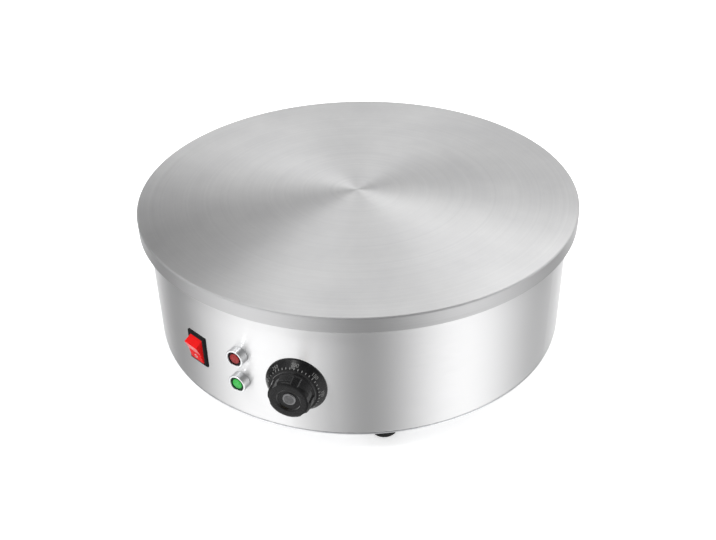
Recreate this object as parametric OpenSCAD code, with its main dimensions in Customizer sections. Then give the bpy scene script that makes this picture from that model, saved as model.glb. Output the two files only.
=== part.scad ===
// Electric crepe maker: a round cooking plate on a stainless steel drum. The drum holds the
// heating element, a capillary thermostat with its dial, a mains switch and two pilot lamps.
// The origin is on the table under the plate's axis, +Z is up and the controls face -Y.

/* [Cooking plate] */
// Diameter of the cooking plate
plate_d = 400; // [370:1:460]
// Height of the band round the plate
plate_band_h = 14.4; // [12.5:0.1:18]
// Thickness of the plate over the heating element
plate_t = 10; // [8:0.1:11]
// Width of the ring that the plate sits on
plate_ring_w = 18; // [15:0.5:20]
// Rounding of the plate's top edge
plate_round = 1.4; // [0.5:0.1:3]
// Chamfer of the plate's lower edge
plate_chamfer = 0.9; // [0.4:0.1:2]
// Diameter of the boss round the tie rod
boss_d = 26; // [20:1:30]

/* [Drum] */
// How far the plate stands out over the drum
overhang = 8.2; // [4:0.1:12]
// Height of the drum
drum_h = 109.3; // [100:0.1:140]
// Thickness of the drum's sheet
drum_t = 1; // [0.8:0.1:1.5]
// Outside radius of the folds at the drum's ends
fold_r = 2; // [1.8:0.1:4]
// Width of the flange folded in at the top
top_flange_w = 14; // [12:0.5:18]
// Width of the flange folded in at the bottom
bottom_flange_w = 12; // [11:0.5:16]
// Width of the lap seam at the back
seam_w = 12; // [6:0.5:20]
// Direction of the lap seam, clockwise from the back
seam_az = 28; // [20:1:60]

/* [Base] */
// Thickness of the base plate
base_t = 1.2; // [0.8:0.1:2]
// How far the base plate's edge stays inside the drum's
base_inset = 0.5; // [0:0.1:2]
// Number of screws that hold the base plate
base_screw_n = 8; // [4:1:12]
// Number of air slots in the base plate
vent_n = 16; // [8:1:20]
// Length of an air slot
vent_l = 44; // [20:1:50]
// Width of an air slot
vent_w = 6; // [3:0.5:8]
// Distance from the axis to the middle of an air slot
vent_r = 95; // [90:1:105]

/* [Feet] */
// Height of the rubber feet
foot_h = 21.5; // [17:0.1:35]
// Diameter of a foot where it meets the base
foot_top_d = 30; // [26:0.5:34]
// Diameter of a foot on the table
foot_bottom_d = 23; // [19:0.5:25]
// Distance from the drum's wall to a foot's centre
foot_inset = 28.8; // [27:0.1:40]
// Angle between a foot and the front or the back
foot_az = 37.5; // [30:0.5:60]
// Rubber between a foot's screw and the base plate
foot_web = 8.5; // [6:0.5:10]

/* [Heating element] */
// Diameter of the tubular element
element_d = 8; // [6.5:0.1:8.5]
// Distance from the plate's edge to the outer turn
element_margin = 40; // [38:0.5:46]
// Distance from one turn to the next
element_pitch = 48; // [44:0.5:50]
// Space between the ends of the turns
element_gap = 14; // [8:1:20]
// Bend radius where a lead turns down
elbow_r = 12; // [9:0.5:14]
// Straight length of a lead below its bend
lead_l = 18; // [12:1:26]
// Direction of the element's ends, counter-clockwise from the front
lead_az = 150; // [120:5:180]
// Thickness of the plate that presses the element up
clamp_t = 2; // [1.5:0.1:4]
// Thickness of the insulation
pad_t = 12; // [8:0.5:16]
// Thickness of the heat shield
shield_t = 1; // [0.6:0.1:1.5]

/* [Dial and grip] */
// Direction of the dial, counter-clockwise from the front
knob_az = 15.4; // [14:0.1:30]
// Height of the dial's axis over the bottom of the drum
knob_up = 51.5; // [45:0.5:60]
// Diameter of the dial
dial_d = 51.6; // [46:0.1:56]
// Diameter of the grip at its foot
grip_d = 37.6; // [35:0.1:40]
// Diameter of the grip at its face
grip_face_d = 36; // [32:0.1:37]
// Distance from the drum to the grip's face
grip_h = 23.3; // [21:0.1:28]
// Number of finger flutes in the grip
flute_n = 6; // [5:1:8]
// Width of a finger flute
flute_w = 8.6; // [7:0.1:10]
// Depth of a finger flute
flute_depth = 2.1; // [1.5:0.1:2.8]
// Diameter of the hollow in the grip's face
hollow_d = 20; // [16:0.1:22]
// Diameter of the bare disc in the hollow
cap_d = 10.6; // [8:0.1:13]
// Diameter of the thermostat's shaft
shaft_d = 6; // [5:0.1:7]

/* [Switch] */
// Direction of the switch, counter-clockwise from the front
switch_az = -14.3; // [-30:0.1:-13]
// Height of the switch's middle over the bottom of the drum
switch_up = 50.5; // [40:0.5:60]
// Width of the switch's bezel
switch_w = 22.4; // [20:0.1:26]
// Height of the switch's bezel
switch_h = 29.4; // [26:0.1:33]
// Thickness of the bezel
bezel_t = 2.4; // [1.8:0.1:3]
// How far the bezel covers the edge of its cut-out
bezel_lip = 1; // [0.7:0.1:1.5]
// Wall of the switch's housing over and under the rocker
switch_wall = 1.4; // [1.2:0.1:1.8]
// Wall beside the rocker, which carries its pins
switch_side = 2; // [1.8:0.1:2.4]
// Depth of the housing behind the drum
switch_depth = 20; // [17:0.5:26]
// Depth of the rocker's pivot behind the drum
pivot_depth = 1; // [0.8:0.1:2]
// Distance from the pivot to the middle of the rocker's face
rocker_rise = 6.4; // [5.6:0.1:7.2]
// Half of the rocker's travel, in degrees
rocker_tilt = 16; // [10:0.5:17]
// Diameter of the rocker's pins
pin_d = 2; // [1.5:0.1:2.4]

/* [Pilot lamps] */
// Height of the lower lamp over the bottom of the drum
lamp_up = 38.9; // [32:0.1:45]
// Distance between the lamps
lamp_pitch = 26.2; // [22:0.1:30]
// Diameter of a lamp's bezel
lamp_d = 16.5; // [14.5:0.1:18.5]
// How far a lamp's bezel stands out of the drum
lamp_proud = 7.3; // [6:0.1:10]
// Wall of a lamp's bezel at its mouth
lamp_rim = 1.9; // [1.4:0.1:2.3]
// Diameter of the barrel behind a lamp's bezel
barrel_d = 11.6; // [10:0.1:12]
// Length of the barrel behind the drum
barrel_l = 14; // [10:0.5:18]

/* [Cable gland] */
// Height of the gland over the bottom of the drum
gland_up = 34; // [28:0.5:45]
// Bore for the mains cable
cable_d = 9; // [7:0.1:10]
// Diameter of the gland's thread
gland_thread_d = 19.8; // [18:0.1:21]
// Width across the flats of the gland's hexagons
gland_af = 24; // [23:0.5:28]
// Length of the gland outside the drum
gland_l = 19.5; // [17:0.1:22]

/* [Clearances] */
// Radial clearance of a shaft, a stud or a pin in its bore
fit = 0.05; // [0.02:0.01:0.1]
// Gap between a flat-backed piece and the curved wall, or a tube and what clamps it
seat = 0.05; // [0.02:0.01:0.1]
// Gap round the dial, the rocker and other pieces that move
running = 0.3; // [0.2:0.05:0.5]

/* [Hidden] */

// Colours
steel = "#c9ccce";
plain_steel = "#a9adb0";
brass = "#b8974a";
black = "#1b1b1c";
rubber = "#242424";
phenolic = "#3a2f2a";
ceramic = "#ece7dc";

// Levels, from the table up
base_top = foot_h + base_t;
drum_top = base_top + drum_h;
plate_top = drum_top + plate_band_h;
web_z = plate_top - plate_t;
braze = 0.2;
element_z = web_z - seat - (element_d + braze) / 2;
clamp_top = element_z - (element_d + braze) / 2 - seat;
clamp_z = clamp_top - clamp_t;
pad_z = clamp_z - pad_t;
shield_z = pad_z - shield_t;

// Radii
plate_r = plate_d / 2;
drum_r = plate_r - overhang;
base_r = drum_r - base_inset;
foot_r = drum_r - foot_inset;
turn_r = [for (i = [0:2]) plate_r - element_margin - i * element_pitch];
stud_r = (turn_r[0] + turn_r[1]) / 2;
clamp_r = turn_r[0] + 5;
shield_r = clamp_r + running + shield_t;

// Fasteners: diameter, width across the flats, height of the nut
m10 = [10, 17, 8];
m6 = [6, 10, 5];
m5 = [5, 8, 4];
m4 = 4;
m3 = 3;
washer_t = 2;
small_washer_t = 1.2;
thread_end = 1.5;
stud_n = 6;
stud_depth = 5;
rod_depth = 4;
screw_inset = 6.8;
screw_head_d = 7.6;
screw_head_h = 2.4;
recess_d = 13;

// Turns of the element: where each begins and ends, in degrees from the gap's middle
bend_r = element_pitch / 2;
core_d = 3;
insulator_r = 5;
insulator_h = 6;
first_lead = arc_deg(element_gap / 2 + elbow_r + element_d / 2, turn_r[0]);
first_bend = 360 - arc_deg(element_gap / 2 + bend_r + element_d / 2, stud_r);
second_bend = arc_deg(element_gap / 2 + bend_r + element_d / 2, (turn_r[1] + turn_r[2]) / 2);
last_lead = 360 - arc_deg(element_gap / 2 + elbow_r + element_d / 2, turn_r[2]);
bulb_d = 6;
bulb_l = 56;
bulb_y = 20;
bulb_z = web_z - seat - bulb_d / 2;
clip = [10, 14];
clip_pitch = 36;
capillary_d = 2;
capillary_x = bulb_l / 2 + 8;
cutout_r = 88;
cutout_az = lead_az + 180;
cutout_pitch = 24;

// Thermostat and grip, outward from the drum
stat_w = 36;
stat_h = 38;
stat_depth = 24;
stat_plate_w = 24;
stat_plate_t = 2;
stat_front = wall_w(stat_plate_w / 2) - seat;
stat_face = min(stat_front - stat_plate_t, wall_w(stat_w / 2) - seat);
stat_pitch = 28;
bush_r = 5;
shaft_in = 12;
shaft_out = 17;
shaft_flat = 1.6;
spring_t = 0.4;
dial_back = 1.2;
dial_edge = 2.4;
dial_face = 8.8;
dial_slope = 53.5;
dial_rim = 0.8;
dial_crown = 2;
dial_wall = 1.8;
hub_r = 8;
hub_back = 2.6;
grip_foot = dial_back + dial_face + 0.1;
collar_h = 2.4;
collar_edge = 0.6;
face_round = 3.5;
face_lip = 0.4;
face_drop = 0.7;
hollow_depth = 3;
hollow_edge = 0.5;
ridge_clock = -12;
flute_root = grip_d / 2 - collar_edge - flute_depth;
flute_sunk = 0.2;
flute_lean = 38;
flute_corner = 0.8;
head_h = 2.2;

// Switch, outward from the drum
housing_w = switch_w - 2 * bezel_lip;
housing_h = switch_h - 2 * bezel_lip;
mouth_w = housing_w - 2 * switch_side;
mouth_h = housing_h - 2 * switch_wall;
rocker_r = mouth_h / 2 + 0.1;
cavity_r = rocker_r + running;
rocker_back = 2;
rocker_dish = 6;
rocker_lean = 14;
rocker_short = 2.7;
rocker_reach = rocker_r - rocker_short;
blade = [6.3, 0.8, 9];

// Lamps, outward from the drum
lens_r = lamp_d / 2 - lamp_rim - 2 * fit;
lens_h = 5.2;
lens_sunk = 0.3;
lens_seat = lamp_proud - lens_h - lens_sunk;
lens_core = 4.4;
lens_dome = 0.5;
lens_groove = 2;
lamp_edge = 0.5;
neck_r = barrel_d / 2 - 0.8;

function arc_deg(length, r) = length / r * 180 / PI;
function wall_w(u) = sqrt(pow(drum_r - drum_t, 2) - u * u) - drum_r;
function arc(cx, cy, r, a0, a1, n = 6) =
    [for (i = [0:n]) let (a = a0 + (a1 - a0) * i / n) [cx + r * cos(a), cy + r * sin(a)]];
function unit(v) = v / norm(v);

// Catmull-Rom curve through the points p, n steps to each stretch
function bend(p, n) = [
    for (i = [0:len(p) - 2], k = [0:n - 1])
        curve_at(p[max(i - 1, 0)], p[i], p[i + 1], p[min(i + 2, len(p) - 1)], k / n),
    p[len(p) - 1]];
function curve_at(a, b, c, d, t) =
    (2 * b + (c - a) * t + (2 * a - 5 * b + 4 * c - d) * t * t
    + (3 * b - a - 3 * c + d) * t * t * t) / 2;

// Round tube along the points p
module tube(p, d, sides = 8) {
    n = len(p);
    aside = [0.28, 0.13, 0.95];
    rings = [for (i = [0:n - 1])
        let (t = unit(p[min(i + 1, n - 1)] - p[max(i - 1, 0)]),
            s = unit(cross(t, aside)), u = cross(s, t))
        for (k = [0:sides - 1])
            p[i] + d / 2 * (cos(k * 360 / sides) * s + sin(k * 360 / sides) * u)];
    polyhedron(rings, concat(
        [[for (k = [0:sides - 1]) k]],
        [[for (k = [sides - 1:-1:0]) (n - 1) * sides + k]],
        [for (i = [0:n - 2], k = [0:sides - 1])
            [i * sides + k, (i + 1) * sides + k, i * sides + (k + 1) % sides]],
        [for (i = [0:n - 2], k = [0:sides - 1])
            [(i + 1) * sides + k, (i + 1) * sides + (k + 1) % sides,
             i * sides + (k + 1) % sides]]));
}

// A place on the drum: x along the wall to the right, y up, z out of the wall
module on_drum(az, up)
    translate([0, 0, foot_h + up]) rotate([90, 0, az]) translate([0, 0, drum_r]) children();

// A place over the base, az degrees counter-clockwise from the front
module at(az, r)
    rotate([0, 0, az]) translate([0, -r, 0]) children();

// The element's own frame: x from the axis towards the gap between its ends
module at_gap()
    rotate([0, 0, lead_az - 90]) children();

module hexagon(af, h)
    rotate([0, 0, 30]) cylinder(d = af / cos(30), h = h, $fn = 6);

module nut(size, washer_d = 0)
    difference() {
        union() {
            hexagon(size[1], size[2]);
            if (washer_d > 0) cylinder(d = washer_d, h = small_washer_t, $fn = 64);
        }
        translate([0, 0, -1]) cylinder(d = size[0] + 2 * fit, h = size[2] + 2, $fn = 48);
    }

// Pan-head screw: the head is below z = 0 and the shank above it
module screw(d, head_d, head_h, l)
    difference() {
        union() {
            translate([0, 0, -head_h / 2]) cylinder(d = head_d, h = head_h / 2, $fn = 48);
            translate([0, 0, -head_h])
                cylinder(d1 = head_d * 0.7, d2 = head_d, h = head_h / 2, $fn = 48);
            cylinder(d = d, h = l - d / 8, $fn = 48);
            translate([0, 0, l - d / 8]) cylinder(d1 = d, d2 = d * 0.75, h = d / 8, $fn = 48);
        }
        for (a = [0, 90]) rotate([0, 0, a])
            translate([-head_d * 0.28, -d / 12, -head_h - 1])
                cube([head_d * 0.56, d / 6, head_h * 0.5 + 1]);
    }

// Flat slot profile along y, from y = a to y = b, with round ends
module slot(a, b, w) {
    translate([-w / 2, a]) square([w, b - a]);
    for (y = [a, b]) translate([0, y]) circle(d = w, $fn = 32);
}

// Plate with bevelled front edges
module bevelled(x, y, t, bevel)
    intersection() {
        translate([0, y / 2, 0]) rotate([90, 0, 0]) linear_extrude(y) bevel_profile(x, t, bevel);
        translate([-x / 2, 0, 0]) rotate([90, 0, 90]) linear_extrude(x) bevel_profile(y, t, bevel);
    }
module bevel_profile(l, t, bevel)
    polygon([[-l / 2, 0], [l / 2, 0], [l / 2, t - bevel], [l / 2 - bevel, t],
        [bevel - l / 2, t], [-l / 2, t - bevel]]);

// ---- Cooking plate and what clamps the element under it ----

module cooking_plate() color(plain_steel) difference() {
    rotate_extrude($fn = 240) polygon(concat(
        [[0, plate_top]],
        arc(plate_r - plate_round, plate_top - plate_round, plate_round, 90, 0),
        [[plate_r, drum_top + plate_chamfer], [plate_r - plate_chamfer, drum_top],
         [plate_r - plate_ring_w, drum_top], [plate_r - plate_ring_w, web_z],
         [boss_d / 2, web_z], [boss_d / 2, clamp_top + seat], [0, clamp_top + seat]]));
    translate([0, 0, clamp_top - 1])
        cylinder(d = m10[0] + 2 * fit, h = web_z + rod_depth - clamp_top + 1, $fn = 64);
    each_stud() translate([0, 0, web_z - 1])
        cylinder(d = m6[0] + 2 * fit, h = stud_depth + 1, $fn = 48);
}

module tie_rod() color(plain_steel)
    translate([0, 0, rod_end()]) cylinder(d = m10[0], h = web_z + rod_depth - seat - rod_end(), $fn = 64);
module tie_rod_nut() color(plain_steel)
    translate([0, 0, foot_h - washer_t - m10[2]]) nut(m10);
module tie_rod_washer() color(plain_steel)
    translate([0, 0, foot_h - washer_t]) ring(15, m10[0] / 2 + fit, washer_t);
function rod_end() = foot_h - washer_t - m10[2] - thread_end;

module ring(ro, ri, h, fn = 64)
    difference() {
        cylinder(r = ro, h = h, $fn = fn);
        translate([0, 0, -1]) cylinder(r = ri, h = h + 2, $fn = fn);
    }

module each_stud()
    at_gap() for (i = [0:stud_n - 1]) rotate([0, 0, (i + 0.5) * 360 / stud_n])
        translate([stud_r, 0, 0]) children();

module element_studs() color(plain_steel) each_stud()
    translate([0, 0, shield_z - m6[2] - thread_end])
        cylinder(d = m6[0], h = web_z + stud_depth - seat - shield_z + m6[2] + thread_end, $fn = 48);

module element_nuts() color(plain_steel) each_stud()
    translate([0, 0, shield_z]) mirror([0, 0, 1]) nut(m6, 14);

// One flat turn of the tube, from angle a to angle b
module turn(r, a, b, d = element_d)
    rotate([0, 0, a]) rotate_extrude(angle = b - a, $fn = 120) translate([r, 0]) circle(d = d, $fn = 32);

// Brazed joint between two stretches of the tube
module joint(r, a)
    rotate([0, 0, a]) translate([r, 0, 0]) sphere(d = element_d + braze, $fn = 48);

// End of the tube: it bends down and leaves through the clamped stack; side is the way it points
module lead(r, a, side)
    rotate([0, 0, a]) translate([r, 0, -elbow_r]) {
        rotate([0, -90, side > 0 ? 0 : 180]) {
            turn(elbow_r, 0, 90);
            for (end = [0, 90]) joint(elbow_r, end);
        }
        translate([0, side * elbow_r, -lead_l]) cylinder(d = element_d, h = lead_l, $fn = 32);
        translate([0, side * elbow_r, -lead_l - 14]) cylinder(d = core_d, h = 15, $fn = 24);
        translate([-blade[0] / 2, side * elbow_r - blade[1] / 2, -lead_l - 20])
            cube([blade[0], blade[1], 8]);
    }

module lead_place(r, a, side)
    at_gap() rotate([0, 0, a]) translate([r, side * elbow_r, 0]) children();

module each_lead() {
    lead_place(turn_r[0], first_lead, -1) children();
    lead_place(turn_r[2], last_lead, 1) children();
}

module heating_element() color("#6f6a66") at_gap() translate([0, 0, element_z]) {
    lead(turn_r[0], first_lead, -1);
    turn(turn_r[0], first_lead, first_bend);
    rotate([0, 0, first_bend]) translate([stud_r, 0, 0]) turn(bend_r, 0, 180);
    turn(turn_r[1], second_bend, first_bend);
    rotate([0, 0, second_bend]) translate([turn_r[1] - bend_r, 0, 0]) turn(bend_r, 180, 360);
    turn(turn_r[2], second_bend, last_lead);
    lead(turn_r[2], last_lead, 1);
    for (r = [turn_r[0], turn_r[1]]) joint(r, first_bend);
    for (r = [turn_r[1], turn_r[2]]) joint(r, second_bend);
}

module lead_insulators() color(ceramic) each_lead()
    translate([0, 0, element_z - elbow_r - lead_l - insulator_h - seat])
        ring(insulator_r, core_d / 2 + fit, insulator_h, 48);

// Holes of the three discs under the element, as a flat profile of radius r
module clamp_profile(r)
    difference() {
        circle(r = r, $fn = 180);
        circle(d = m10[0] + 3, $fn = 48);
        each_stud() circle(d = m6[0] + 0.6, $fn = 32);
        translate([capillary_x, bulb_y]) circle(d = capillary_d + 3, $fn = 32);
        at_gap() {
            rotate([0, 0, first_lead]) translate([turn_r[0], 0])
                slot(-elbow_r, -element_d / 2, element_d + 2);
            rotate([0, 0, last_lead]) translate([turn_r[2], 0])
                slot(element_d / 2, elbow_r, element_d + 2);
        }
    }

module pressure_plate() color(plain_steel)
    translate([0, 0, clamp_z]) linear_extrude(clamp_t) clamp_profile(clamp_r);

module insulation_pad() color("#d8d2bf") difference() {
    translate([0, 0, pad_z]) linear_extrude(pad_t) clamp_profile(clamp_r);
    each_cutout_screw() translate([0, 0, pad_z - 1]) cylinder(d = m3 + 1, h = 4, $fn = 32);
}

module heat_shield() color(steel) difference() {
    union() {
        translate([0, 0, shield_z]) linear_extrude(shield_t) clamp_profile(shield_r);
        translate([0, 0, shield_z])
            ring(shield_r, shield_r - shield_t, shield_t + pad_t - running, 180);
    }
    each_cutout_screw() translate([0, 0, shield_z - 1])
        cylinder(d = m3 + 2 * fit, h = shield_t + 2, $fn = 32);
}

// ---- Drum and base ----

module drum_section()
    polygon(concat(
        [[drum_r - bottom_flange_w, base_top]],
        arc(drum_r - fold_r, base_top + fold_r, fold_r, -90, 0),
        arc(drum_r - fold_r, drum_top - fold_r, fold_r, 0, 90),
        [[drum_r - top_flange_w, drum_top], [drum_r - top_flange_w, drum_top - drum_t]],
        arc(drum_r - fold_r, drum_top - fold_r, fold_r - drum_t, 90, 0),
        arc(drum_r - fold_r, base_top + fold_r, fold_r - drum_t, 0, -90),
        [[drum_r - bottom_flange_w, base_top + drum_t]]));

module drum_shell() color(steel) difference() {
    union() {
        rotate_extrude($fn = 240) drum_section();
        rotate([0, 0, 90 - seam_az]) rotate_extrude(angle = arc_deg(seam_w, drum_r), $fn = 240)
            translate([drum_r - drum_t / 2, base_top + fold_r])
                square([drum_t / 2 + 0.6, drum_h - 2 * fold_r]);
    }
    on_drum(switch_az, switch_up) translate([-housing_w / 2 - seat, -housing_h / 2 - seat, -5])
        cube([housing_w + 2 * seat, housing_h + 2 * seat, 10]);
    each_lamp() wall_hole(barrel_d + 0.4);
    on_drum(knob_az, knob_up) {
        wall_hole(2 * bush_r + 0.6);
        for (s = [-1, 1]) translate([0, s * stat_pitch / 2, 0]) wall_hole(m4 + 2 * fit);
    }
    on_drum(180, gland_up) wall_hole(gland_thread_d + 0.4);
    each_base_screw() translate([0, 0, base_top - 1]) cylinder(d = m4 + 2 * fit, h = 3, $fn = 32);
}
module wall_hole(d)
    translate([0, 0, -5]) cylinder(d = d, h = 10, $fn = 48);

module each_base_screw()
    for (i = [0:base_screw_n - 1]) at(i * 360 / base_screw_n, drum_r - screw_inset) children();

module each_foot()
    for (az = [-foot_az, foot_az, 180 - foot_az, 180 + foot_az]) at(az, foot_r) children();

module base_plate() color(plain_steel) translate([0, 0, foot_h]) linear_extrude(base_t)
    difference() {
        circle(r = base_r, $fn = 240);
        circle(d = m10[0] + 2 * fit, $fn = 48);
        for (i = [0:vent_n - 1]) rotate([0, 0, (i + 0.5) * 360 / vent_n])
            translate([0, vent_r]) slot((vent_w - vent_l) / 2, (vent_l - vent_w) / 2, vent_w);
        each_base_screw() circle(d = m4 + 2 * fit, $fn = 32);
        each_foot() circle(d = m5[0] + 2 * fit, $fn = 32);
        earth_place() circle(d = m4 + 2 * fit, $fn = 32);
    }

module base_screws() color(steel) each_base_screw()
    translate([0, 0, foot_h]) screw(m4, screw_head_d, screw_head_h, base_t + drum_t + m4);

module foot(az) color(rubber) at(az, foot_r) difference() {
    rotate_extrude($fn = 96) polygon([[m5[0] / 2 + 2 * fit, foot_h], [foot_top_d / 2, foot_h],
        [foot_top_d / 2, foot_h - 3], [foot_bottom_d / 2, 1.2], [foot_bottom_d / 2 - 1, 0],
        [recess_d / 2 + 0.5, 0], [recess_d / 2, 0.5], [recess_d / 2, foot_h - foot_web],
        [m5[0] / 2 + 2 * fit, foot_h - foot_web]]);
}
module foot_front_left() foot(-foot_az);
module foot_front_right() foot(foot_az);
module foot_rear_left() foot(180 + foot_az);
module foot_rear_right() foot(180 - foot_az);

module foot_washers() color(steel) each_foot()
    translate([0, 0, foot_h - foot_web - small_washer_t])
        ring(recess_d / 2 - 0.4, m5[0] / 2 + fit, small_washer_t, 48);
module foot_screws() color(steel) each_foot()
    translate([0, 0, foot_h - foot_web - small_washer_t])
        screw(m5[0], 9, 3, small_washer_t + foot_web + base_t + m5[2] + thread_end);
module foot_nuts() color(plain_steel) each_foot()
    translate([0, 0, base_top]) nut(m5, 11);

// ---- Thermostat, its sensor and the safety cut-out ----

module stat_plate_profile()
    difference() {
        square([stat_plate_w, stat_h], center = true);
        circle(r = bush_r + fit, $fn = 48);
        for (s = [-1, 1]) translate([0, s * stat_pitch / 2]) circle(d = m4 + 2 * fit, $fn = 32);
    }

module thermostat_plate() color(steel) on_drum(knob_az, knob_up)
    translate([0, 0, stat_front - stat_plate_t]) linear_extrude(stat_plate_t) stat_plate_profile();

module thermostat_body() color(phenolic) on_drum(knob_az, knob_up) difference() {
    union() {
        translate([-stat_w / 2, -stat_h / 2, stat_face - stat_depth])
            cube([stat_w, stat_h, stat_depth]);
        translate([-stat_plate_w / 2, -stat_h / 2, stat_face - 1])
            cube([stat_plate_w, stat_h, stat_front - stat_plate_t - stat_face + 1]);
        translate([0, 0, stat_face - 1]) cylinder(r = bush_r, h = 2 - stat_face, $fn = 48);
        for (x = [-12, 12], y = [-9, 9]) translate([x - blade[0] / 2, y, stat_face - stat_depth - 7])
            cube([blade[0], blade[1], 8]);
    }
    translate([0, 0, -shaft_in - 1 - running]) cylinder(d = shaft_d + 2 * fit, h = 20, $fn = 48);
    for (s = [-1, 1]) translate([0, s * stat_pitch / 2, stat_face - 4])
        cylinder(d = m4 + 0.6, h = 8, $fn = 32);
}

module thermostat_screws() color(steel) on_drum(knob_az, knob_up) for (s = [-1, 1])
    translate([0, s * stat_pitch / 2, seat]) mirror([0, 0, 1]) screw(m4, 7.4, head_h, 5.5);

module thermostat_shaft() color(brass) on_drum(knob_az, knob_up) difference() {
    translate([0, 0, -shaft_in - 1]) cylinder(d = shaft_d, h = shaft_in + 1 + shaft_out, $fn = 48);
    translate([-shaft_d, shaft_flat, hub_back - running]) cube([2 * shaft_d, shaft_d, shaft_out]);
}

module sensor_bulb() color(steel)
    translate([-bulb_l / 2, bulb_y, bulb_z]) rotate([0, 90, 0]) {
        cylinder(d = bulb_d, h = bulb_l, $fn = 32);
        translate([0, 0, bulb_l]) cylinder(d1 = bulb_d, d2 = capillary_d, h = 2, $fn = 32);
    }

module bulb_clips() color(steel) for (s = [-1, 1])
    translate([s * clip_pitch / 2, bulb_y, clamp_top]) difference() {
        translate([-clip[0] / 2, -clip[1] / 2, 0]) cube([clip[0], clip[1], bulb_z - clamp_top]);
        translate([-clip[0], 0, bulb_z - clamp_top]) rotate([0, 90, 0])
            cylinder(d = bulb_d + 2 * fit, h = 2 * clip[0], $fn = 32);
    }

// Route from the bulb down through the stack to the back of the thermostat
capillary_end = stat_face - stat_depth;
function behind_dial(u, v, w) = let (r = drum_r + w)
    [r * sin(knob_az) + u * cos(knob_az), u * sin(knob_az) - r * cos(knob_az),
     foot_h + knob_up + v];
module capillary_tube() color("#a5653a") tube(bend([
    [bulb_l / 2 + 2 + running, bulb_y, bulb_z], [bulb_l / 2 + 5.5, bulb_y, bulb_z - 0.8],
    [capillary_x - 0.2, bulb_y, bulb_z - 4.5], [capillary_x, bulb_y, clamp_z],
    [capillary_x, bulb_y, shield_z - 2], [capillary_x, bulb_y - 4, shield_z - 10],
    [capillary_x + 2, bulb_y - 30, shield_z - 15], [capillary_x + 4, -60, shield_z - 20],
    behind_dial(0, 16, capillary_end - 26), behind_dial(0, 8, capillary_end - 10),
    behind_dial(0, 4, capillary_end - 4), behind_dial(0, 4, capillary_end - running)], 4), capillary_d);

module cutout_place() at(cutout_az, cutout_r) translate([0, 0, shield_z - seat]) children();
module each_cutout_screw() at(cutout_az, cutout_r)
    for (s = [-1, 1]) translate([s * cutout_pitch / 2, 0, 0]) children();
module high_limit_cutout() color(phenolic) cutout_place() mirror([0, 0, 1]) difference() {
    union() {
        linear_extrude(1) slot_across(cutout_pitch, 8);
        cylinder(d = 16, h = 9, $fn = 48);
        for (x = [-4.5, 4.5]) translate([x - 0.4, -3, 8]) cube([blade[1], 6, 8]);
    }
    for (s = [-1, 1]) translate([s * cutout_pitch / 2, 0, -1])
        cylinder(d = m3 + 2 * fit, h = 3, $fn = 32);
}
module slot_across(l, w) rotate([0, 0, 90]) slot(-l / 2, l / 2, w);
module high_limit_screws() color(steel) each_cutout_screw()
    translate([0, 0, shield_z - seat - 1]) screw(m3, 5.5, 2, 1 + seat + shield_t + 2);

// ---- Mains entry ----

block = [38, 18, 16];
block_y = drum_r - 63.8;
module terminal_block() color(ceramic) translate([0, block_y, base_top]) difference() {
    union() {
        translate([-block[0] / 2, -block[1] / 2, 0]) cube([block[0], block[1], 5]);
        for (x = [-12, 0, 12]) translate([x - 5, -block[1] / 2, 0]) cube([10, block[1], block[2]]);
    }
    for (x = [-12, 0, 12]) {
        translate([x, -block[1], 9]) rotate([-90, 0, 0])
            cylinder(d = 5, h = 2 * block[1], $fn = 32);
        for (y = [-5, 5]) translate([x, y, 9]) cylinder(d = m3 + 2 * fit, h = block[2], $fn = 32);
    }
}
module terminal_screws() color(brass) translate([0, block_y, base_top + block[2]])
    for (x = [-12, 0, 12], y = [-5, 5]) translate([x, y, 0]) mirror([0, 0, 1]) screw(m3, 5, 1.6, 5);

module earth_place() translate([34, block_y, 0]) children();
module earth_stud() color(brass) earth_place() {
    translate([0, 0, foot_h]) screw(m4, screw_head_d, screw_head_h, base_t + 3 * m4);
    translate([0, 0, base_top]) hexagon(7, 3.2);
}

hex_l = 6;
// Space round the cable in the seal before it is tightened
seal_gap = 0.5;
module cable_gland() color(black) on_drum(180, gland_up) difference() {
    union() {
        translate([0, 0, seat]) hexagon(gland_af, hex_l);
        translate([0, 0, -11]) cylinder(d = gland_thread_d, h = 12, $fn = 64);
        translate([0, 0, hex_l]) cylinder(d = gland_thread_d - 2, h = 4, $fn = 64);
    }
    translate([0, 0, -12]) cylinder(d = cable_d + 2, h = 30, $fn = 48);
    translate([0, 0, hex_l]) cylinder(d = cable_d + 5, h = 10, $fn = 48);
}
module gland_nut() color(black) on_drum(180, gland_up) translate([0, 0, hex_l + 2 * seat])
    difference() {
        union() {
            hexagon(gland_af - 1, gland_l - hex_l - 5.4);
            rotate_extrude($fn = 96) polygon(concat([[0, 0]],
                arc(gland_af / 2 - 5, gland_l - hex_l - 5, 5 - 2 * seat, 0, 90),
                [[0, gland_l - hex_l - 2 * seat]]));
        }
        translate([0, 0, -1]) cylinder(d = gland_thread_d - 2 + 2 * fit, h = 5.2, $fn = 64);
        cylinder(d = cable_d + 5, h = gland_l - hex_l - 3, $fn = 48);
        cylinder(d = cable_d, h = gland_l, $fn = 64);
    }
module gland_seal() color(rubber) on_drum(180, gland_up)
    translate([0, 0, hex_l + 3 * seat]) ring(cable_d / 2 + 2.5 - fit, cable_d / 2 + seal_gap,
        gland_l - hex_l - 3.2, 48);
module gland_locknut() color(black) on_drum(180, gland_up)
    translate([0, 0, wall_w(14.5) - seat - 5]) difference() {
        hexagon(gland_af + 1, 5);
        translate([0, 0, -1]) cylinder(d = gland_thread_d + 2 * fit, h = 7, $fn = 64);
    }

// ---- Mains switch ----

module on_switch() on_drum(switch_az, switch_up) children();

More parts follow.
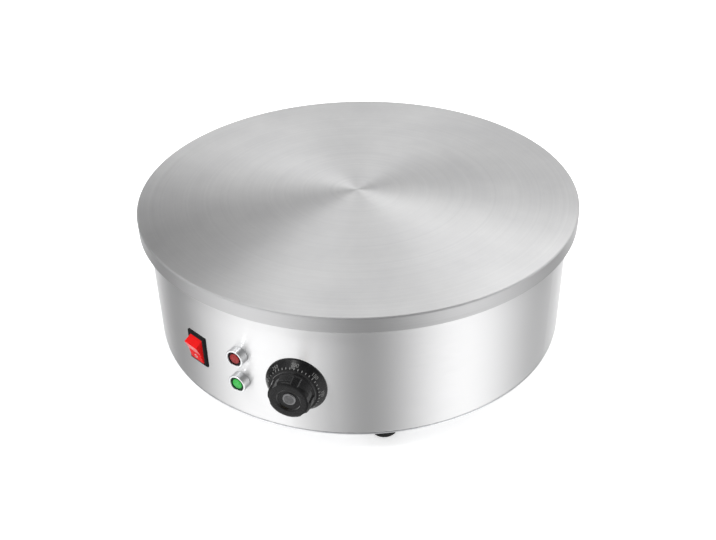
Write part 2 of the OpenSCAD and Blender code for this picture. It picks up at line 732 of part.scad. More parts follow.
module switch_frame() color(black) on_switch() difference() {
    union() {
        translate([0, 0, seat]) bevelled(switch_w, switch_h, bezel_t, 0.8);
        translate([-housing_w / 2, -housing_h / 2, -switch_depth])
            cube([housing_w, housing_h, switch_depth + 1]);
        // Catches that snap behind the wall
        for (s = [0, 1]) mirror([0, s, 0]) translate([-4, housing_h / 2, wall_w(4) - seat])
            rotate([90, 0, 90]) linear_extrude(8) polygon([[-0.5, 0], [0.7, 0], [0, -5], [-0.5, -5]]);
    }
    translate([-mouth_w / 2, -mouth_h / 2, -pivot_depth])
        cube([mouth_w, mouth_h, pivot_depth + bezel_t + 1]);
    translate([-mouth_w / 2, 0, -pivot_depth]) rotate([0, 90, 0])
        cylinder(r = cavity_r, h = mouth_w, $fn = 96);
    translate([-housing_w / 2 - seat, 0, -pivot_depth]) rotate([0, 90, 0])
        cylinder(d = pin_d + 2 * fit, h = housing_w + 2 * seat, $fn = 48);
}

module switch_terminals() color(brass) on_switch() for (x = [-6, 6], y = [-7, 7])
    translate([x - blade[1] / 2, y - blade[0] / 2, -switch_depth - blade[2]])
        cube([blade[1], blade[0], blade[2]]);

// Half of the rocker's side, from its pivot: the face dips to the middle and the end leans in
rocker_rim = rocker_rise + rocker_reach * tan(rocker_dish);
rocker_half = [[rocker_reach + (rocker_rim + rocker_back) * tan(rocker_lean), -rocker_back],
    [rocker_reach, rocker_rim], [0, rocker_rise]];
module switch_rocker() color("#d8141a") on_switch() translate([0, 0, -pivot_depth])
    rotate([90, 0, 90]) {
        translate([0, 0, running - mouth_w / 2]) linear_extrude(mouth_w - 2 * running)
            rotate([0, 0, rocker_tilt]) intersection() {
                circle(r = rocker_r, $fn = 96);
                polygon(concat(rocker_half, [for (i = [1, 0]) [-rocker_half[i][0], rocker_half[i][1]]]));
            }
        translate([0, 0, -housing_w / 2 + running])
            cylinder(d = pin_d, h = housing_w - 2 * running, $fn = 48);
    }

// ---- Pilot lamps ----

module each_lamp() { on_drum(0, lamp_up) children(); on_drum(0, lamp_up + lamp_pitch) children(); }

module lamp_bezel() difference() {
    union() {
        translate([0, 0, seat]) rotate_extrude($fn = 96) polygon(concat([[0, 0], [lamp_d / 2, 0]],
            arc(lamp_d / 2 - lamp_edge, lamp_proud - lamp_edge, lamp_edge, 0, 90), [[0, lamp_proud]]));
        translate([0, 0, -barrel_l]) cylinder(d = barrel_d, h = barrel_l + 1, $fn = 64);
    }
    translate([0, 0, lens_seat]) cylinder(r = lamp_d / 2 - lamp_rim, h = lamp_proud, $fn = 64);
    translate([0, 0, lamp_proud + seat - lamp_edge]) cylinder(r1 = lamp_d / 2 - lamp_rim,
        r2 = lamp_d / 2 - lamp_rim + lamp_edge, h = lamp_edge + 0.01, $fn = 64);
    translate([0, 0, -barrel_l - 1]) cylinder(r = neck_r, h = barrel_l + lamp_proud, $fn = 64);
}
// A faceted middle stands in a deep groove
module lamp_lens() translate([0, 0, lens_seat + seat]) {
    rotate_extrude($fn = 64) polygon([[0, 0], [lens_r, 0], [lens_r, lens_h - lens_groove],
        [lens_core + lens_dome, lens_h - lens_groove], [lens_core, lens_h - lens_dome],
        [0, lens_h - lens_dome]]);
    translate([0, 0, lens_h - lens_dome])
        cylinder(r1 = lens_core, r2 = lens_core * 0.5, h = lens_dome, $fn = 12);
}
module lamp_body() {
    translate([0, 0, -barrel_l - 5]) cylinder(r = neck_r - fit, h = barrel_l + 5 + lens_seat, $fn = 48);
    for (s = [-1, 1]) translate([s * 2.5 - 0.4, -1.4, -barrel_l - 11]) cube([blade[1], 2.8, 7]);
}
module red_lamp_bezel() color(steel) on_drum(0, lamp_up + lamp_pitch) lamp_bezel();
module green_lamp_bezel() color(steel) on_drum(0, lamp_up) lamp_bezel();
module red_lamp_lens() color("#b01820") on_drum(0, lamp_up + lamp_pitch) lamp_lens();
module green_lamp_lens() color("#2fc850") on_drum(0, lamp_up) lamp_lens();
module red_lamp_body() color(black) on_drum(0, lamp_up + lamp_pitch) lamp_body();
module green_lamp_body() color(black) on_drum(0, lamp_up) lamp_body();
module lamp_nuts() color(steel) each_lamp() translate([0, 0, wall_w(9) - seat - 3]) difference() {
    hexagon(lamp_d, 3);
    translate([0, 0, -1]) cylinder(d = barrel_d + 2 * fit, h = 5, $fn = 48);
}

// ---- Dial and grip, which turn with the thermostat's shaft ----

module on_knob() on_drum(knob_az, knob_up) children();

// Middle of the rounding over the sloped band, where band and edge share a tangent
crown_r = dial_d / 2 - dial_rim - ((dial_face - dial_edge - dial_crown + dial_rim) * cos(dial_slope)
    + dial_crown - dial_rim) / sin(dial_slope);
module dial_skirt() color(black) on_knob() rotate_extrude($fn = 128) polygon(concat(
    [[dial_d / 2 - dial_wall, dial_back], [dial_d / 2 - 0.3, dial_back]],
    [[dial_d / 2, dial_back + 0.3]],
    arc(dial_d / 2 - dial_rim, dial_back + dial_edge - dial_rim, dial_rim, 0, 90 - dial_slope, 4),
    arc(crown_r, dial_back + dial_face - dial_crown, dial_crown, 90 - dial_slope, 90),
    [[hub_r + fit, dial_back + dial_face], [hub_r + fit, dial_back + dial_face - dial_wall],
     [crown_r, dial_back + dial_face - dial_wall],
     [dial_d / 2 - dial_wall, dial_back + dial_edge - dial_wall]]));

module knob_grip() color(black) on_knob() difference() {
    rotate_extrude($fn = 128) polygon(concat(
        [[0, hub_back], [hub_r, hub_back], [hub_r, grip_foot], [grip_d / 2, grip_foot]],
        [[grip_d / 2, grip_foot + collar_h - collar_edge], [grip_d / 2 - collar_edge, grip_foot + collar_h]],
        [[grip_face_d / 2 - face_lip, grip_h - face_round - face_drop]],
        arc(grip_face_d / 2 - face_round, grip_h - face_round, face_round, -8, 90, 9),
        [[hollow_d / 2 + hollow_edge, grip_h], [hollow_d / 2, grip_h - hollow_edge],
         [hollow_d / 2, grip_h - hollow_depth], [0, grip_h - hollow_depth]]));
    for (i = [0:flute_n - 1]) rotate([0, 0, -ridge_clock - (i + 0.5) * 360 / flute_n]) flute();
    // Bore for the shaft, with a flat that the spring lies on
    difference() {
        translate([0, 0, hub_back - 1]) cylinder(d = shaft_d + 2 * fit,
            h = shaft_out + running - hub_back + 1, $fn = 48);
        translate([-shaft_d, shaft_flat + spring_t + 2 * fit, 0]) cube([2 * shaft_d, shaft_d, 40]);
    }
}
// Groove with a flat floor and leaning walls, open at the face and ending in the collar
module flute() {
    reach = flute_w / 2 - flute_depth * tan(flute_lean) - flute_corner * tan(45 - flute_lean / 2);
    mouth = flute_w / 2 + (grip_d / 2 + collar_edge) * tan(flute_lean);
    translate([0, 0, grip_foot + collar_h - flute_sunk]) linear_extrude(grip_h) polygon(concat(
        [[-mouth, grip_d]],
        arc(-reach, flute_root + flute_corner, flute_corner, 180 + flute_lean, 270, 4),
        arc(reach, flute_root + flute_corner, flute_corner, 270, 360 - flute_lean, 4),
        [[mouth, grip_d]]));
}

module knob_cap() color("#8d8f92") on_knob() translate([0, 0, grip_h - hollow_depth + seat])
    rotate_extrude($fn = 96) polygon([[0, 0], [cap_d / 2, 0], [cap_d / 2, 0.9],
        [cap_d / 2 - 0.4, 1.3], [cap_d / 2 - 1, 1.3], [cap_d / 2 - 1.3, 1], [0, 1]]);

module knob_spring() color(steel) on_knob()
    translate([-shaft_d * 0.32, shaft_flat + fit, hub_back + 2])
        cube([shaft_d * 0.64, spring_t, shaft_out - hub_back - 3]);

cooking_plate();
tie_rod();
tie_rod_nut();
tie_rod_washer();
heating_element();
lead_insulators();
element_studs();
element_nuts();
pressure_plate();
insulation_pad();
heat_shield();
drum_shell();
base_plate();
base_screws();
foot_front_left();
foot_front_right();
foot_rear_left();
foot_rear_right();
foot_washers();
foot_screws();
foot_nuts();
thermostat_plate();
thermostat_body();
thermostat_screws();
thermostat_shaft();
capillary_tube();
sensor_bulb();
bulb_clips();
high_limit_cutout();
high_limit_screws();
terminal_block();
terminal_screws();
earth_stud();
switch_frame();
switch_terminals();
switch_rocker();
red_lamp_bezel();
red_lamp_lens();
red_lamp_body();
green_lamp_bezel();
green_lamp_lens();
green_lamp_body();
lamp_nuts();
cable_gland();
gland_nut();
gland_seal();
gland_locknut();
dial_skirt();
knob_grip();
knob_cap();
knob_spring();
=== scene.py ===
import math

import bmesh
import bpy
from mathutils import Matrix, Vector


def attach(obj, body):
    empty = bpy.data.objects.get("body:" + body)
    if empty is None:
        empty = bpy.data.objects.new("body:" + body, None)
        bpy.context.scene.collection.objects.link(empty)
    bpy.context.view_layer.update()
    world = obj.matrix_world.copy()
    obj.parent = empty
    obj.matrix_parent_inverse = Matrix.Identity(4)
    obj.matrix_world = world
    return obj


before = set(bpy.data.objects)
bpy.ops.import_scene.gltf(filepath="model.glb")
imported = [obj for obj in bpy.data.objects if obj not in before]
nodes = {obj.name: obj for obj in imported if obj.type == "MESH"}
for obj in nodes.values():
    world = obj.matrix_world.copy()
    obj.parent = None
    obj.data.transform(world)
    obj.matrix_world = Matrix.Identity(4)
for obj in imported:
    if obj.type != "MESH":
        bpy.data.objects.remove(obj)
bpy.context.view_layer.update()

MM = 0.001


# ---- Sizes repeated from the part's source, in millimetres and degrees ----

# az is an angle round the drum, from its front towards its right. up is a height over its lower edge.
PLATE_TOP, PLATE_R = 146.4, 200.0
DRUM_R = 191.8
FOOT_H = 21.5
KNOB_AZ, KNOB_UP = 15.4, 51.5
SWITCH_AZ, SWITCH_UP = -14.3, 50.5
LAMP_AZ, LAMP_UP, LAMP_PITCH = 0.0, 38.9, 26.2
LENS_CORE = 4.4  # radius of the lens inside its groove
CAP_RIM = 4.1  # radius where the rim of the grip's disc starts

# The middle of the dial's sloped band: its radius, its distance from the wall and its slope
BAND_R, BAND_OUT, BAND_SLOPE = 23.2, 6.58, 53.5
DIAL_TURN = 3.6  # how far the 200 stands past the top
DEGREES_PER_CELSIUS = 0.9

# The rocker: its pins behind the wall, its crest over the pins, its tilt and the slope of each half
PIVOT_DEPTH, ROCKER_RISE, ROCKER_TILT, ROCKER_DISH = 1.0, 6.4, 16.0, 6.0


def on_drum(az, up):
    """A place on the drum: x along the wall to the right, y up, z out of the wall."""
    a = math.radians(az)
    out = Vector((math.sin(a), -math.cos(a), 0))
    right = Vector((math.cos(a), math.sin(a), 0))
    place = Matrix((right, Vector((0, 0, 1)), out)).transposed().to_4x4()
    place.translation = (out * DRUM_R + Vector((0, 0, FOOT_H + up))) * MM
    return place


# ---- Camera ----

VIEW_FROM = (0.39841, -0.66527, 0.57077)  # in metres
VIEW_AZ, VIEW_DOWN, VIEW_ROLL = 31.0, 33.503, -1.19
FOCAL_LENGTH, FILM_WIDTH = 48.21, 36

camera = bpy.data.objects.new("camera", bpy.data.cameras.new("camera"))
bpy.context.scene.collection.objects.link(camera)
camera.data.lens = FOCAL_LENGTH
camera.data.sensor_width = FILM_WIDTH
camera.data.clip_start = 0.01
camera.matrix_world = (
    Matrix.Translation(VIEW_FROM)
    @ Matrix.Rotation(math.radians(VIEW_AZ), 4, "Z")
    @ Matrix.Rotation(math.radians(90 - VIEW_DOWN), 4, "X")
    @ Matrix.Rotation(math.radians(VIEW_ROLL), 4, "Z")
)
bpy.context.scene.camera = camera
bpy.context.scene.view_settings.view_transform = "Standard"


# ---- Node trees ----

class Tree:
    """Short names for making and joining shader nodes."""

    def __init__(self, tree):
        self.tree = tree

    def put(self, socket, value):
        if isinstance(value, bpy.types.NodeSocket):
            self.tree.links.new(value, socket)
        elif value is not None:
            socket.default_value = value

    def add(self, kind, *inputs, out=0, **settings):
        """A node with its inputs set or joined in order; returns one of its outputs."""
        node = self.tree.nodes.new(kind)
        for name, value in settings.items():
            setattr(node, name, value)
        for socket, value in zip(node.inputs, inputs):
            self.put(socket, value)
        return node.outputs[out] if node.outputs else node

    def math(self, operation, a, b=0.0):
        return self.add("ShaderNodeMath", a, b, operation=operation)

    def across(self, a, b):
        """The length of a step of a one way and b square to it."""
        return self.math("SQRT", self.math("ADD", self.math("MULTIPLY", a, a), self.math("MULTIPLY", b, b)))

    def parted(self, vector):
        """The x, y and z of a vector."""
        node = self.tree.nodes.new("ShaderNodeSeparateXYZ")
        self.put(node.inputs[0], vector)
        return node.outputs

    def bearing(self, x, y):
        """The angle round the Z axis, in radians, from the front towards the right."""
        return self.math("ARCTAN2", x, self.math("MULTIPLY", y, -1.0))

    def noise(self, where, scale, detail=2.0, roughness=0.5):
        node = self.tree.nodes.new("ShaderNodeTexNoise")
        self.put(node.inputs["Vector"], where)
        node.inputs["Scale"].default_value = scale
        node.inputs["Detail"].default_value = detail
        node.inputs["Roughness"].default_value = roughness
        return node.outputs["Fac"]

    def span(self, value, low, high, from_low=0.0, from_high=1.0):
        """value scaled from one range to another."""
        return self.add("ShaderNodeMapRange", value, from_low, from_high, low, high)

    def colour(self, factor, a, b):
        """A mix of two colours: a at 0 and b at 1."""
        node = self.tree.nodes.new("ShaderNodeMix")
        node.data_type = "RGBA"
        self.put(node.inputs[0], factor)
        self.put(node.inputs[6], (*a, 1) if isinstance(a, tuple) else a)
        self.put(node.inputs[7], (*b, 1) if isinstance(b, tuple) else b)
        return node.outputs[2]

    def ramp(self, factor, stops):
        """A grey that eases from one stop to the next."""
        node = self.tree.nodes.new("ShaderNodeValToRGB")
        self.put(node.inputs[0], factor)
        node.color_ramp.interpolation = "EASE"
        elements = node.color_ramp.elements
        while len(elements) < len(stops):
            elements.new(0.5)
        for element, (place, value) in zip(elements, stops):
            element.position = place
            element.color = (value, value, value, 1)
        return node.outputs[0]


looks = {}


class Look(Tree):
    """A material round one Principled shader, kept in looks by its name."""

    def __init__(self, name, colour, roughness, metallic=0.0, **constants):
        self.material = bpy.data.materials.new(name)
        self.material.use_nodes = True
        super().__init__(self.material.node_tree)
        self.shader = self.tree.nodes["Principled BSDF"]
        self.where = self.add("ShaderNodeTexCoord", out=3)  # object coordinates, in metres
        self.base = colour
        self.set("Base Color", (*colour, 1))
        self.set("Roughness", roughness)
        self.set("Metallic", metallic)
        for socket, value in constants.items():
            self.set(socket.replace("_", " "), value)
        looks[name] = self

    def set(self, socket, value):
        self.put(self.shader.inputs[socket], value)

    def mottle(self, scale, other, detail=3.0):
        """The base colour drifts towards another in soft patches."""
        patches = self.span(self.noise(self.where, scale, detail), 0, 1, 0.35, 0.65)
        self.set("Base Color", self.colour(patches, self.base, other))

    def wear(self, scale, low, high):
        """The roughness varies over the surface."""
        self.set("Roughness", self.span(self.noise(self.where, scale, 4.0), low, high, 0.3, 0.7))

    def bevel(self, edge):
        """A normal that looks rounded by edge mm where faces meet."""
        return self.add("ShaderNodeBevel", edge * MM, samples=6)

    def rounded(self, edge):
        self.set("Normal", self.bevel(edge))

    def relief(self, height, depth, edge=0.0):
        """Bump of that depth in mm, over edges that look rounded by edge mm."""
        node = self.tree.nodes.new("ShaderNodeBump")
        self.put(node.inputs["Height"], height)
        node.inputs["Strength"].default_value = 1.0
        node.inputs["Distance"].default_value = depth * MM
        if edge:
            self.put(node.inputs["Normal"], self.bevel(edge))
        self.set("Normal", node.outputs[0])

    def turned(self):
        """Brushed or turned round the Z axis: highlights spread across the marks."""
        self.set("Tangent", self.add("ShaderNodeTangent", direction_type="RADIAL", axis="Z"))
        self.set("Anisotropic Rotation", 0.25)

    def off_axis(self, az, up):
        """Distance in metres from the axis of a control on the drum."""
        x, y, z = self.parted(self.where)
        aside = self.math("ADD", self.math("MULTIPLY", x, math.cos(math.radians(az))),
                          self.math("MULTIPLY", y, math.sin(math.radians(az))))
        above = self.math("SUBTRACT", z, (FOOT_H + up) * MM)
        return self.across(aside, above)

    def off_centre(self):
        """Distance in metres from the Z axis, and the height."""
        x, y, z = self.parted(self.where)
        return self.across(x, y), z

    def polar(self, stretch):
        """Coordinates round the Z axis: along the arc, up, and out, the first one shrunk by stretch."""
        x, y, z = self.parted(self.where)
        arc = self.math("MULTIPLY", self.bearing(x, y), DRUM_R * MM / stretch)
        return self.add("ShaderNodeCombineXYZ", arc, z, self.across(x, y))


# ---- Studio ----

# Panels round the object as a metal surface sees them: the direction, in degrees from the front of the
# model towards its right, and the brightness
PANELS = [
    (-155, 0.35), (-122, 1.8), (-84, 0.06), (-25, 1.46), (35, 0.35),
    (88, 1.62), (142, 0.2), (184, 1.4), (205, 0.35),
]
FIRST_PANEL = PANELS[0][0]
CEILING = 0.21
CEILING_FROM = 0.35  # upward part of a direction from which only the ceiling shows
SKY = 0.55  # what dull surfaces are lit by
FLOOR_LIFT = 0.55  # the floor's own glow for the camera, which brings its tone to white
FLOOR_HALF = 6  # in metres
LAMP_AIM_UP = 0.12  # height of the point that the lamps face, in metres


def studio_world():
    """Grey panels for metal, an even sky for dull surfaces, and white for the camera."""
    world = bpy.data.worlds.new("studio")
    world.use_nodes = True
    bpy.context.scene.world = world
    tree = Tree(world.node_tree)
    tree.tree.nodes.clear()
    x, y, z = tree.parted(tree.add("ShaderNodeTexCoord"))
    azimuth = tree.math("MULTIPLY", tree.bearing(x, y), 180 / math.pi)
    turn = tree.math("FRACT", tree.math("DIVIDE", tree.math("ADD", azimuth, 360 - FIRST_PANEL), 360.0))
    panels = tree.ramp(turn, [((az - FIRST_PANEL) / 360, level) for az, level in PANELS])
    ceiling = tree.add("ShaderNodeRGB")
    ceiling.default_value = (CEILING, CEILING, CEILING, 1)
    reflected = tree.colour(tree.span(z, 0, 1, 0.0, CEILING_FROM), panels, ceiling)
    rays = tree.tree.nodes.new("ShaderNodeLightPath")
    background = tree.colour(rays.outputs["Is Diffuse Ray"], reflected, (SKY, SKY, SKY))
    background = tree.colour(rays.outputs["Is Camera Ray"], background, (1.0, 1.0, 1.0))
    tree.add("ShaderNodeOutputWorld", tree.add("ShaderNodeBackground", background, 1.0))


def softbox(name, az, elevation, distance, size, power):
    """A square lamp that faces the object's axis."""
    lamp = bpy.data.objects.new(name, bpy.data.lights.new(name, "AREA"))
    lamp.data.shape = "RECTANGLE"
    lamp.data.size, lamp.data.size_y = size, size
    lamp.data.energy = power
    a, e = math.radians(az), math.radians(elevation)
    away = Vector((math.sin(a) * math.cos(e), -math.cos(a) * math.cos(e), math.sin(e)))
    lamp.location = Vector((0, 0, LAMP_AIM_UP)) + away * distance
    lamp.rotation_euler = away.to_track_quat("Z", "Y").to_euler()
    bpy.context.scene.collection.objects.link(lamp)


def studio_floor():
    """A pale floor that keeps the shadow, and that metal doesn't show."""
    floor = bpy.data.objects.new("floor", bpy.data.meshes.new("floor"))
    form = bmesh.new()
    bmesh.ops.create_grid(form, x_segments=1, y_segments=1, size=FLOOR_HALF)
    form.to_mesh(floor.data)
    form.free()
    bpy.context.scene.collection.objects.link(floor)
    floor.visible_glossy = False
    look = Look("floor", (0.86, 0.86, 0.86), 0.9, Specular_IOR_Level=0.0)
    look.set("Emission Color", (1, 1, 1, 1))
    rays = look.tree.nodes.new("ShaderNodeLightPath")
    look.set("Emission Strength", look.math("MULTIPLY", rays.outputs["Is Camera Ray"], FLOOR_LIFT))
    floor.data.materials.append(look.material)


studio_world()
softbox("rear", VIEW_AZ + 160, 54, 1.6, 1.6, 9.5)
softbox("right", VIEW_AZ + 110, 38, 3.0, 3.0, 36)
softbox("left", VIEW_AZ - 76, 42, 1.2, 1.8, 5.5)
softbox("front", VIEW_AZ - 40, 53, 1.3, 0.18, 2.0)
softbox("front_left", VIEW_AZ - 80, 50, 1.3, 0.2, 1.2)
studio_floor()


# ---- Materials ----

def plate_iron():
    """Turned plate: fine rings, with a few wider ones, a faint patina, a duller rounding, and painted light
    that makes the side band a paler grey.
    """
    look = Look("plate_iron", (0.60, 0.60, 0.605), 0.42, 1.0, Anisotropic=0.75)
    look.turned()
    rings = look.noise(look.polar(400.0), 1500, 3, 0.6)
    wide = look.noise(look.polar(600.0), 260, 2, 0.5)
    patina = look.noise(look.where, 18, 4, 0.6)
    tone = look.math("ADD", look.math("MULTIPLY", wide, 0.35), look.math("MULTIPLY", patina, 0.65))
    edge_in, edge_out = 1.6, 0.6
    radius, height = look.off_centre()
    outer = look.span(radius, 0, 1, (PLATE_R - edge_in) * MM, (PLATE_R - edge_out) * MM)
    upper = look.span(height, 0.12, 0.3, (PLATE_TOP - edge_in) * MM, (PLATE_TOP - edge_out) * MM)
    edge = look.math("MULTIPLY", outer, upper)
    look.set("Roughness", look.math("ADD", look.span(rings, 0.36, 0.48, 0.3, 0.7), edge))
    turned = look.colour(look.span(tone, 0, 1, 0.35, 0.65), (0.57, 0.57, 0.575), (0.635, 0.635, 0.635))
    # Painted light: the side band and the outer rounding are made a paler grey to look brighter
    look.set("Base Color", look.colour(outer, turned, (0.65, 0.65, 0.655)))
    look.relief(look.math("ADD", rings, look.math("MULTIPLY", wide, 0.4)), 0.012)


def drum_steel():
    """Polished stainless sheet with a grain round the drum."""
    look = Look("drum_steel", (0.90, 0.90, 0.905), 0.46, 1.0, Anisotropic=0.85)
    look.turned()
    grain = look.noise(look.polar(60.0), 2200, 3, 0.6)
    look.set("Roughness", look.span(grain, 0.42, 0.5, 0.3, 0.7))
    look.relief(grain, 0.0015)


def metal(name, colour, roughness, other, scale, edge=0.0):
    """Plain metal with soft patches of another tone and uneven gloss."""
    look = Look(name, colour, roughness, 1.0)
    look.mottle(scale, other)
    look.wear(scale * 4, roughness * 0.85, roughness * 1.2)
    if edge:
        look.rounded(edge)


def black_moulding():
    """Satin nylon of the switch frame, the lamps' bodies and the gland."""
    look = Look("black_moulding", (0.004, 0.004, 0.0045), 0.34, Specular_IOR_Level=0.16)
    look.mottle(300, (0.009, 0.009, 0.0095))
    look.relief(look.noise(look.where, 2600, 2), 0.01, 0.25)


def knob_black():
    """Moulding of the dial and the grip, with worn gloss."""
    look = Look("knob_black", (0.008, 0.008, 0.0085), 0.26, Specular_IOR_Level=0.22)
    look.mottle(200, (0.013, 0.013, 0.0135))
    look.wear(500, 0.22, 0.32)
    look.relief(look.noise(look.where, 2000, 2), 0.012, 0.45)


def cap_grey():
    """Foil disc of the grip: a dark middle in a paler rim."""
    look = Look("cap_grey", (0.20, 0.20, 0.205), 0.4, 0.6)
    half_step = 0.2
    rim = look.span(look.off_axis(KNOB_AZ, KNOB_UP), 0, 1,
                    (CAP_RIM - half_step) * MM, (CAP_RIM + half_step) * MM)
    grain = look.span(look.noise(look.where, 700, 3), 0, 1, 0.35, 0.65)
    middle = look.colour(grain, (0.09, 0.09, 0.092), (0.15, 0.15, 0.152))
    look.set("Base Color", look.colour(rim, middle, (0.24, 0.24, 0.245)))
    look.rounded(0.15)


def rocker_red():
    """Glossy red rocker with a faint painted glow that brightens its red."""
    look = Look("rocker_red", (0.88, 0.004, 0.004), 0.28, Specular_IOR_Level=0.12)
    look.mottle(150, (0.8, 0.0035, 0.004))
    # Painted glow: a faint red emission over the whole rocker, which is no lamp
    look.set("Emission Color", (0.9, 0.004, 0.004, 1))
    look.set("Emission Strength", 0.08)
    look.rounded(0.35)


def lens(name, colour, other, groove_shade, up, glow):
    """A pilot lamp's lens: a pale faceted middle ringed by painted shade, round the lamp's axis."""
    look = Look(name, colour, 0.15, IOR=1.49, Specular_IOR_Level=0.3)
    facets = look.span(look.noise(look.where, 600, 1), 0, 1, 0.4, 0.6)
    # Painted shade: past the core's radius the lens is coloured dark, as shade in its recessed ring
    rim = look.span(look.off_axis(LAMP_AZ, up), 0, 1, (LENS_CORE - 0.1) * MM, (LENS_CORE + 0.3) * MM)
    tone = look.colour(rim, look.colour(facets, colour, other), groove_shade)
    look.set("Base Color", tone)
    look.set("Emission Color", tone)
    look.set("Emission Strength", glow)


def rubber():
    """Matt rubber of the feet and the gland's seal."""
    look = Look("rubber", (0.006, 0.006, 0.006), 0.7, Specular_IOR_Level=0.25)
    look.mottle(400, (0.012, 0.012, 0.0115))
    look.relief(look.noise(look.where, 1500, 3), 0.03, 0.3)


def phenolic():
    """Brown moulding of the thermostat and the cut-out."""
    look = Look("phenolic", (0.055, 0.035, 0.028), 0.45)
    look.mottle(300, (0.08, 0.05, 0.04))
    look.relief(look.noise(look.where, 1500, 2), 0.015, 0.2)


def insulation():
    """Pale ceramic fibre blanket."""
    look = Look("insulation", (0.78, 0.74, 0.64), 0.95)
    look.mottle(60, (0.68, 0.63, 0.52), 5)
    look.relief(look.noise(look.where, 700, 5), 0.4)


def ceramic():
    """Unglazed steatite of the insulators and the terminal block."""
    look = Look("ceramic", (0.80, 0.77, 0.70), 0.35)
    look.mottle(250, (0.74, 0.71, 0.64))
    look.relief(look.noise(look.where, 1200, 3), 0.02, 0.2)


def print_ink(name, colour, other, roughness):
    """Ink of the printed marks, a little uneven."""
    Look(name, colour, roughness).mottle(900, other)


plate_iron()
drum_steel()
metal("zinc_steel", (0.80, 0.81, 0.82), 0.34, (0.70, 0.71, 0.73), 90, 0.15)
metal("element_sheath", (0.20, 0.17, 0.15), 0.55, (0.30, 0.24, 0.20), 40)
metal("brass", (0.72, 0.53, 0.24), 0.3, (0.62, 0.45, 0.20), 120, 0.1)
metal("copper", (0.72, 0.38, 0.24), 0.35, (0.58, 0.31, 0.20), 120)
metal("chrome", (0.86, 0.87, 0.88), 0.1, (0.82, 0.83, 0.84), 200, 0.2)
black_moulding()
knob_black()
cap_grey()
rocker_red()
lens("lens_red", (0.33, 0.012, 0.012), (0.42, 0.03, 0.03), (0.035, 0.003, 0.004), LAMP_UP + LAMP_PITCH, 0.0)
lens("lens_green", (0.02, 0.44, 0.04), (0.06, 0.52, 0.10), (0.004, 0.07, 0.02), LAMP_UP, 0.15)
rubber()
phenolic()
insulation()
ceramic()
print_ink("mark_grey", (0.27, 0.27, 0.265), (0.22, 0.22, 0.217), 0.5)
print_ink("mark_white", (0.86, 0.86, 0.85), (0.78, 0.78, 0.77), 0.4)

for node in nodes.values():
    for holder in node.material_slots:
        given = holder.material.name.split(".")[0] if holder.material else ""
        if given in looks:
            holder.material = looks[given].material

# The polished sheet is shown without an image of the controls: like the floor, they are kept out of
# reflections
for name in ("dial_skirt", "knob_grip", "switch_frame", "switch_rocker"):
    nodes[name].visible_glossy = False


# ---- Marks on the dial and the rocker, in millimetres ----

PRINT = 0.05  # how far a mark stands over the surface that carries it
TICK_W, TICK_START, LONG_TICK_END, TICK_END = 0.8, -3.9, -1.9, -2.3
NUMBER_H = 3.0
DIGIT_SHARE = 0.7  # how tall a digit is in the font's size
ON_W, ON_LOW, ON_HIGH = 0.7, 3.2, 6.6
OFF_R, OFF_HOLE_R, OFF_DOWN = 1.8, 1.15, 5.0


def mark(name, body, look, form, place):
    """A printed mark: its corners, in millimetres, go through place into the world."""
    for corner in form.verts:
        corner.co = place(corner.co.x, corner.co.y)
    mesh = bpy.data.meshes.new(name)
    form.to_mesh(mesh)
    form.free()
    mesh.materials.append(looks[look].material)
    piece = bpy.data.objects.new(name, mesh)
    bpy.context.scene.collection.objects.link(piece)
    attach(piece, body)


def bar(width, low, high):
    """An upright bar from low to high."""
    form = bmesh.new()
    corners = [form.verts.new((x, y, 0)) for x, y in
               ((-width / 2, low), (width / 2, low), (width / 2, high), (-width / 2, high))]
    form.faces.new(corners)
    return form


def written(number, height):
    """The number as flat faces round the origin."""
    curve = bpy.data.curves.new("digits", "FONT")
    curve.body = str(number)
    curve.size = height / DIGIT_SHARE
    curve.align_x = "CENTER"
    curve.align_y = "CENTER"
    curve.resolution_u = 4
    holder = bpy.data.objects.new("digits", curve)
    mesh = bpy.data.meshes.new_from_object(holder)
    form = bmesh.new()
    form.from_mesh(mesh)
    bpy.data.objects.remove(holder)
    bpy.data.curves.remove(curve)
    bpy.data.meshes.remove(mesh)
    return form


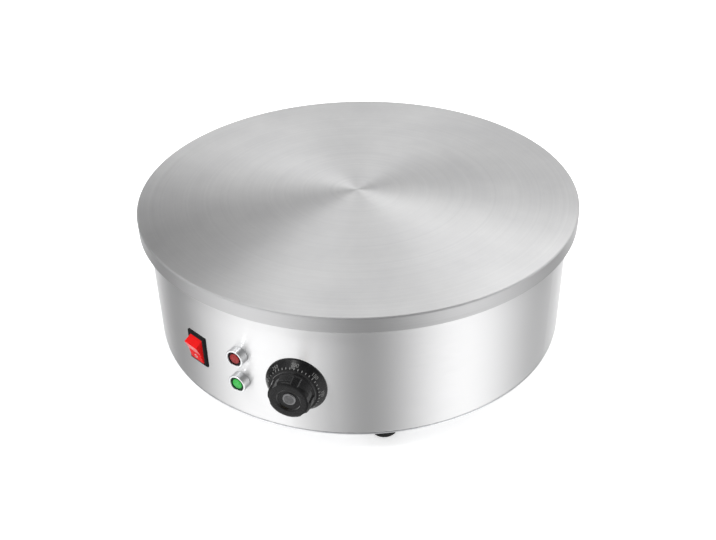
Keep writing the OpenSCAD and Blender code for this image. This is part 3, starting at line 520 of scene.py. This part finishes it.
def circle_mark(radius, hole, down):
    """A flat ring that far below the middle."""
    form = bmesh.new()
    bmesh.ops.create_circle(form, segments=48, radius=radius)
    bmesh.ops.extrude_edge_only(form, edges=form.edges[:])
    for corner in form.verts[48:]:
        corner.co *= hole / radius
    for corner in form.verts:
        corner.co.y -= down
    return form


def on_band(clock):
    """Wraps a flat drawing round the dial's sloped band: x clockwise, y out to the rim."""
    knob = on_drum(KNOB_AZ, KNOB_UP)
    slope = math.radians(BAND_SLOPE)

    def place(x, y):
        turn = math.radians(clock) + x / BAND_R
        r = BAND_R + y * math.cos(slope) + PRINT * math.sin(slope)
        out = BAND_OUT - y * math.sin(slope) + PRINT * math.cos(slope)
        return knob @ (Vector((r * math.sin(turn), r * math.cos(turn), out)) * MM)

    return place


def on_rocker(side):
    """Lays a drawing on a half of the rocker's face: 1 is the upper half, -1 the lower one."""
    slope = math.radians(ROCKER_TILT + side * ROCKER_DISH)
    tilt = math.radians(ROCKER_TILT)
    crest = Vector((-ROCKER_RISE * math.sin(tilt), ROCKER_RISE * math.cos(tilt) - PIVOT_DEPTH))
    along = Vector((math.cos(slope), math.sin(slope)))
    away = Vector((-math.sin(slope), math.cos(slope)))
    switch = on_drum(SWITCH_AZ, SWITCH_UP)

    def place(x, y):
        spot = crest + along * y + away * PRINT
        return switch @ (Vector((x, spot.x, spot.y)) * MM)

    return place


for celsius in range(50, 301, 10):
    clock = DIAL_TURN + (200 - celsius) * DEGREES_PER_CELSIUS
    numbered = celsius % 50 == 0
    tick = bar(TICK_W, TICK_START, LONG_TICK_END if numbered else TICK_END)
    mark(f"tick_{celsius}", "knob", "mark_grey", tick, on_band(clock))
    if numbered:
        mark(f"number_{celsius}", "knob", "mark_grey", written(celsius, NUMBER_H), on_band(clock))
mark("number_0", "knob", "mark_grey", written(0, NUMBER_H), on_band(DIAL_TURN + 180))

mark("mark_on", "rocker", "mark_white", bar(ON_W, ON_LOW, ON_HIGH), on_rocker(1))
mark("mark_off", "rocker", "mark_white", circle_mark(OFF_R, OFF_HOLE_R, OFF_DOWN), on_rocker(-1))
